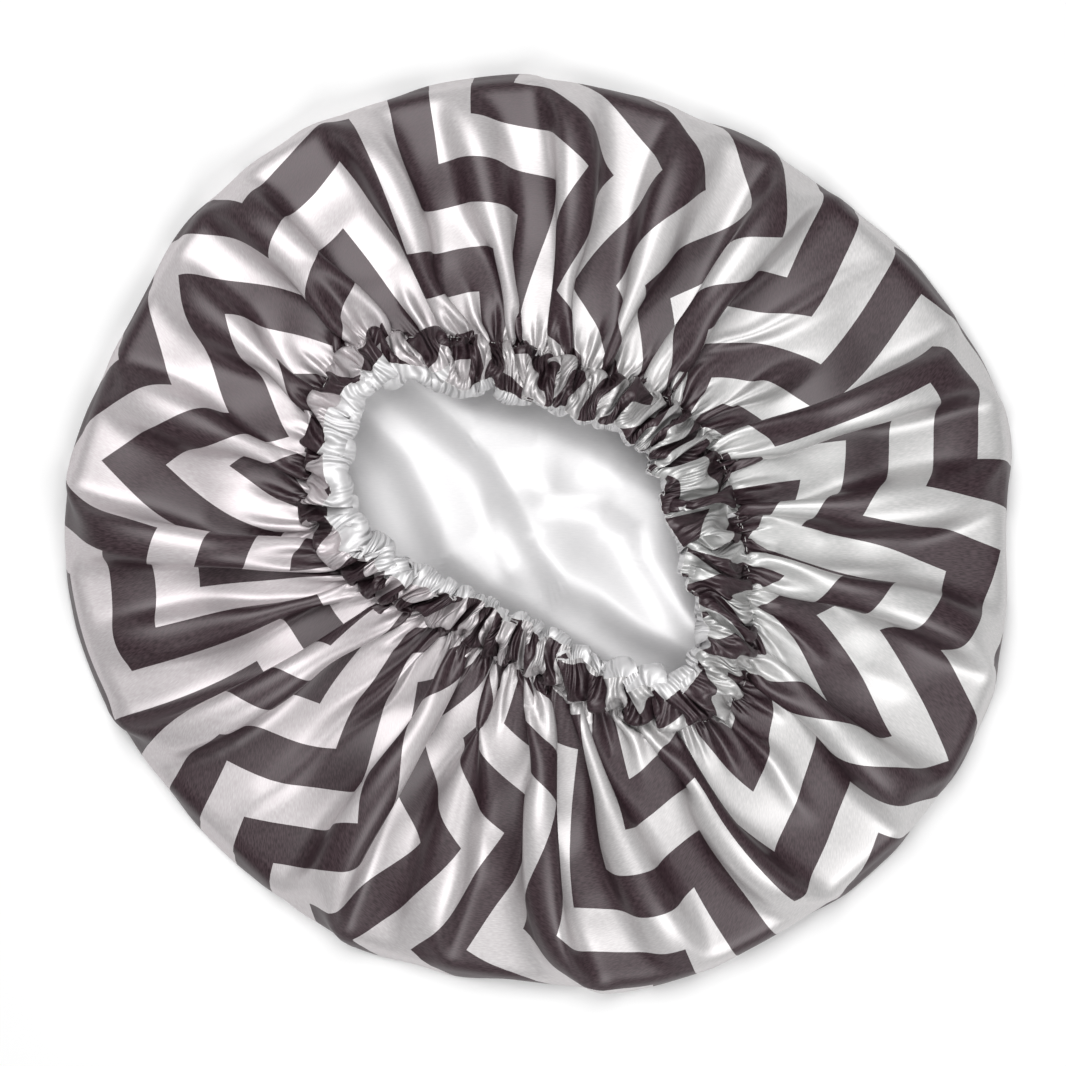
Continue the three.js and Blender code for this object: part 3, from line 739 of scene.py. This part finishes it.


# Elastic band
# A flat woven elastic 12 mm wide inside the casing, its ends lapped and joined with a zigzag of thread. Both come from
# the frame as they are and get their finish here: ribs across the band, and twisted strands in the thread.
# The groove colours are painted shade: elastic and thread darken their white towards the low parts of their bumps.
ELASTIC_GROOVE_SHADE, ELASTIC_RIB = (0.62, 0.61, 0.60, 1), (0.86, 0.85, 0.84, 1)
THREAD_GROOVE_SHADE, THREAD_STRAND = (0.60, 0.59, 0.58, 1), (0.85, 0.84, 0.83, 1)
RIBS_PER_RADIAN, STRAND_PITCH, TWIST_PITCH = 60, 0.0009, 0.0007


def woven_elastic(tree):
    x = tree.node("ShaderNodeSeparateXYZ", values={0: tree.node("ShaderNodeTexCoord", out="Object")})
    round_band = tree.node("ShaderNodeMath", {"operation": "ARCTAN2"}, {0: x.other("Y"), 1: x})
    rib = (round_band * RIBS_PER_RADIAN).wrapped_in(1.0)
    strand = (x.other("Z") / STRAND_PITCH).wrapped_in(1.0)
    height = rib.lower_of(1 - rib) + strand.lower_of(1 - strand)
    bump = tree.node("ShaderNodeBump", values={"Height": height, "Strength": 0.5, "Distance": 0.0002})
    # Painted shade: the band's colour runs from the shaded groove colour at the bottom of the ribs to the rib colour on
    # top.
    return {"Base Color": colour_mix(tree, height, ELASTIC_GROOVE_SHADE, ELASTIC_RIB), "Roughness": 0.75 - height * 0.1,
            "Normal": bump}


def twisted_thread(tree):
    x = tree.node("ShaderNodeSeparateXYZ", values={0: tree.node("ShaderNodeTexCoord", out="Object")})
    strand = ((x + x.other("Y") + x.other("Z") * 2) / TWIST_PITCH).wrapped_in(1.0)
    twist = strand.lower_of(1 - strand)
    bump = tree.node("ShaderNodeBump", values={"Height": twist, "Strength": 0.4, "Distance": 0.0001})
    # Painted shade: the thread's colour darkens into the grooves between its twisted strands.
    return {"Base Color": colour_mix(tree, twist, THREAD_GROOVE_SHADE, THREAD_STRAND), "Roughness": 0.45 + twist * 0.2,
            "Normal": bump}


thread_finish = finish("thread_finish", twisted_thread)
elastic_finish = finish("elastic_finish", woven_elastic)
for node, material in (("elastic_band", elastic_finish), ("elastic_join_thread", thread_finish)):
    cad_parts[node].data.materials.clear()
    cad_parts[node].data.materials.append(material)


# Stitches
# One line of stitches closes the casing in the groove between skirt and casing, and one joins the two cloths at the
# mouth edge. Each stitch is a short plump length of thread that lies along its line and sinks between the gathers.
STITCH_PITCH, STITCH_LENGTH, THREAD_RADIUS, STITCH_TILT = 0.0030, 0.0023, 0.00016, 0.12
SEAM_STITCHES_SUNK, EDGE_STITCHES_RAISED = 0.12, 0.05


def stitch_tree():
    """A tree that lays stitches along the edges of a mesh."""
    group = bpy.data.node_groups.new("stitches", "GeometryNodeTree")
    group.interface.new_socket("Line", in_out="INPUT", socket_type="NodeSocketGeometry")
    for name in ("Pitch", "Stitch length", "Thread radius", "Tilt"):
        group.interface.new_socket(name, in_out="INPUT", socket_type="NodeSocketFloat")
    group.interface.new_socket("Finish", in_out="INPUT", socket_type="NodeSocketMaterial")
    group.interface.new_socket("Stitches", in_out="OUTPUT", socket_type="NodeSocketGeometry")
    tree = Tree(group)
    line = tree.node("NodeGroupInput")
    curve = tree.node("GeometryNodeMeshToCurve", values={0: line})
    spots = tree.node("GeometryNodeResampleCurve", {"mode": "LENGTH"}, {"Curve": curve, "Length": line.other("Pitch")})
    grain = tree.node("GeometryNodeMeshUVSphere", values={"Segments": 6, "Rings": 5, "Radius": 1.0})
    tangent = tree.node("GeometryNodeInputTangent")
    turned = tree.node("FunctionNodeAlignRotationToVector", {"axis": "X"}, {"Vector": tangent})
    half = line.other("Stitch length") * 0.5
    thick = line.other("Thread radius")
    size = tree.node("ShaderNodeCombineXYZ", values={0: half, 1: thick, 2: thick})
    laid = tree.node("GeometryNodeInstanceOnPoints",
                     values={"Points": spots, "Instance": grain, "Rotation": turned, "Scale": size})
    tilt = tree.node("FunctionNodeRandomValue", {"data_type": "FLOAT_VECTOR"},
                     {"Min": (-1.0, -1.0, -1.0), "Max": (1.0, 1.0, 1.0), "Seed": 5})
    tilt = tree.node("ShaderNodeVectorMath", {"operation": "SCALE"}, {0: tilt, "Scale": line.other("Tilt")})
    laid = tree.node("GeometryNodeRotateInstances", values={"Instances": laid, "Rotation": tilt})
    plain = tree.node("GeometryNodeRealizeInstances", values={0: laid})
    smooth = tree.node("GeometryNodeSetShadeSmooth", values={0: plain})
    dressed = tree.node("GeometryNodeSetMaterial", values={"Geometry": smooth, "Material": line.other("Finish")})
    tree.node("NodeGroupOutput", values={0: dressed})
    return group


stitches_laid = stitch_tree()


def sew(name, line):
    """A plain mesh of stitches along a closed line."""
    guide_mesh = bpy.data.meshes.new(name + "_line")
    guide_mesh.from_pydata((line * 0.001).tolist(), [(k, (k + 1) % len(line)) for k in range(len(line))], [])
    guide = bpy.data.objects.new(name + "_line", guide_mesh)
    bpy.context.collection.objects.link(guide)
    modifier = guide.modifiers.new("stitches", "NODES")
    modifier.node_group = stitches_laid
    sockets = {s.name: s.identifier for s in stitches_laid.interface.items_tree if s.in_out == "INPUT"}
    for title, value in (("Pitch", STITCH_PITCH), ("Stitch length", STITCH_LENGTH), ("Thread radius", THREAD_RADIUS),
                         ("Tilt", STITCH_TILT), ("Finish", thread_finish)):
        modifier[sockets[title]] = value
    bpy.context.view_layer.update()
    mesh = bpy.data.meshes.new_from_object(guide.evaluated_get(bpy.context.evaluated_depsgraph_get()))
    bpy.data.objects.remove(guide)
    piece = bpy.data.objects.new(name, mesh)
    bpy.context.collection.objects.link(piece)
    return piece


def cloth_normal(ring):
    """Which way the printed side of the cloth faces along one ring."""
    across = np.roll(cloth[ring], -1, axis=0) - np.roll(cloth[ring], 1, axis=0)
    normal = np.cross(across, cloth[ring + 1] - cloth[ring - 1])
    return normal / (np.linalg.norm(normal, axis=1)[:, None] + 1e-9)


casing_stitches = sew("casing_seam_stitches", cloth[SEAM] - SEAM_STITCHES_SUNK * cloth_normal(SEAM))
edge_stitches = sew("mouth_edge_stitches", cloth[EDGE] + EDGE_STITCHES_RAISED * cloth_normal(EDGE))
for piece, node in ((casing_stitches, "casing_seam_thread"), (edge_stitches, "edge_seam_thread")):
    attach(piece, "root")
    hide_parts(node)


# Floor, light and camera
# The bonnet lies mouth up on a plain white table under a large soft light from the upper left, with a weaker one
# opposite, and the camera looks straight down on it.
floor_mesh = bpy.data.meshes.new("floor")
floor_mesh.from_pydata([(x, y, -0.0001) for x, y in ((-3, -3), (3, -3), (3, 3), (-3, 3))], [], [(0, 1, 2, 3)])
floor = bpy.data.objects.new("floor", floor_mesh)
bpy.context.collection.objects.link(floor)
floor_mesh.materials.append(finish("white_table", lambda tree: {"Base Color": (0.93, 0.93, 0.93, 1), "Roughness": 0.8}))


def soft_light(name, place, size, power):
    """A square light that faces the bonnet."""
    lamp = bpy.data.lights.new(name, "AREA")
    lamp.size, lamp.energy = size, power
    light = bpy.data.objects.new(name, lamp)
    x, y, z = light.location = place
    light.rotation_euler = (math.atan2(math.hypot(x, y), z), 0, math.atan2(x, -y))
    bpy.context.collection.objects.link(light)


soft_light("main_light", (-0.24, 0.46, 1.10), 0.8, 11.5)
soft_light("fill_light", (0.45, -0.75, 0.95), 0.6, 8.5)
world = bpy.data.worlds.new("room")
bpy.context.scene.world = world
world.use_nodes = True
world.node_tree.nodes["Background"].inputs["Color"].default_value = (1, 1, 1, 1)
world.node_tree.nodes["Background"].inputs["Strength"].default_value = 0.17

FRAME_WIDTH, LENS, SENSOR = 0.3902, 100, 36
lens = bpy.data.cameras.new("camera")
lens.lens, lens.sensor_width, lens.shift_x = LENS, SENSOR, -3 / 1066
camera = bpy.data.objects.new("camera", lens)
camera.location = (0, 0, FRAME_WIDTH * LENS / SENSOR)
bpy.context.collection.objects.link(camera)
bpy.context.scene.camera = camera
bpy.context.scene.view_settings.view_transform = "Standard"
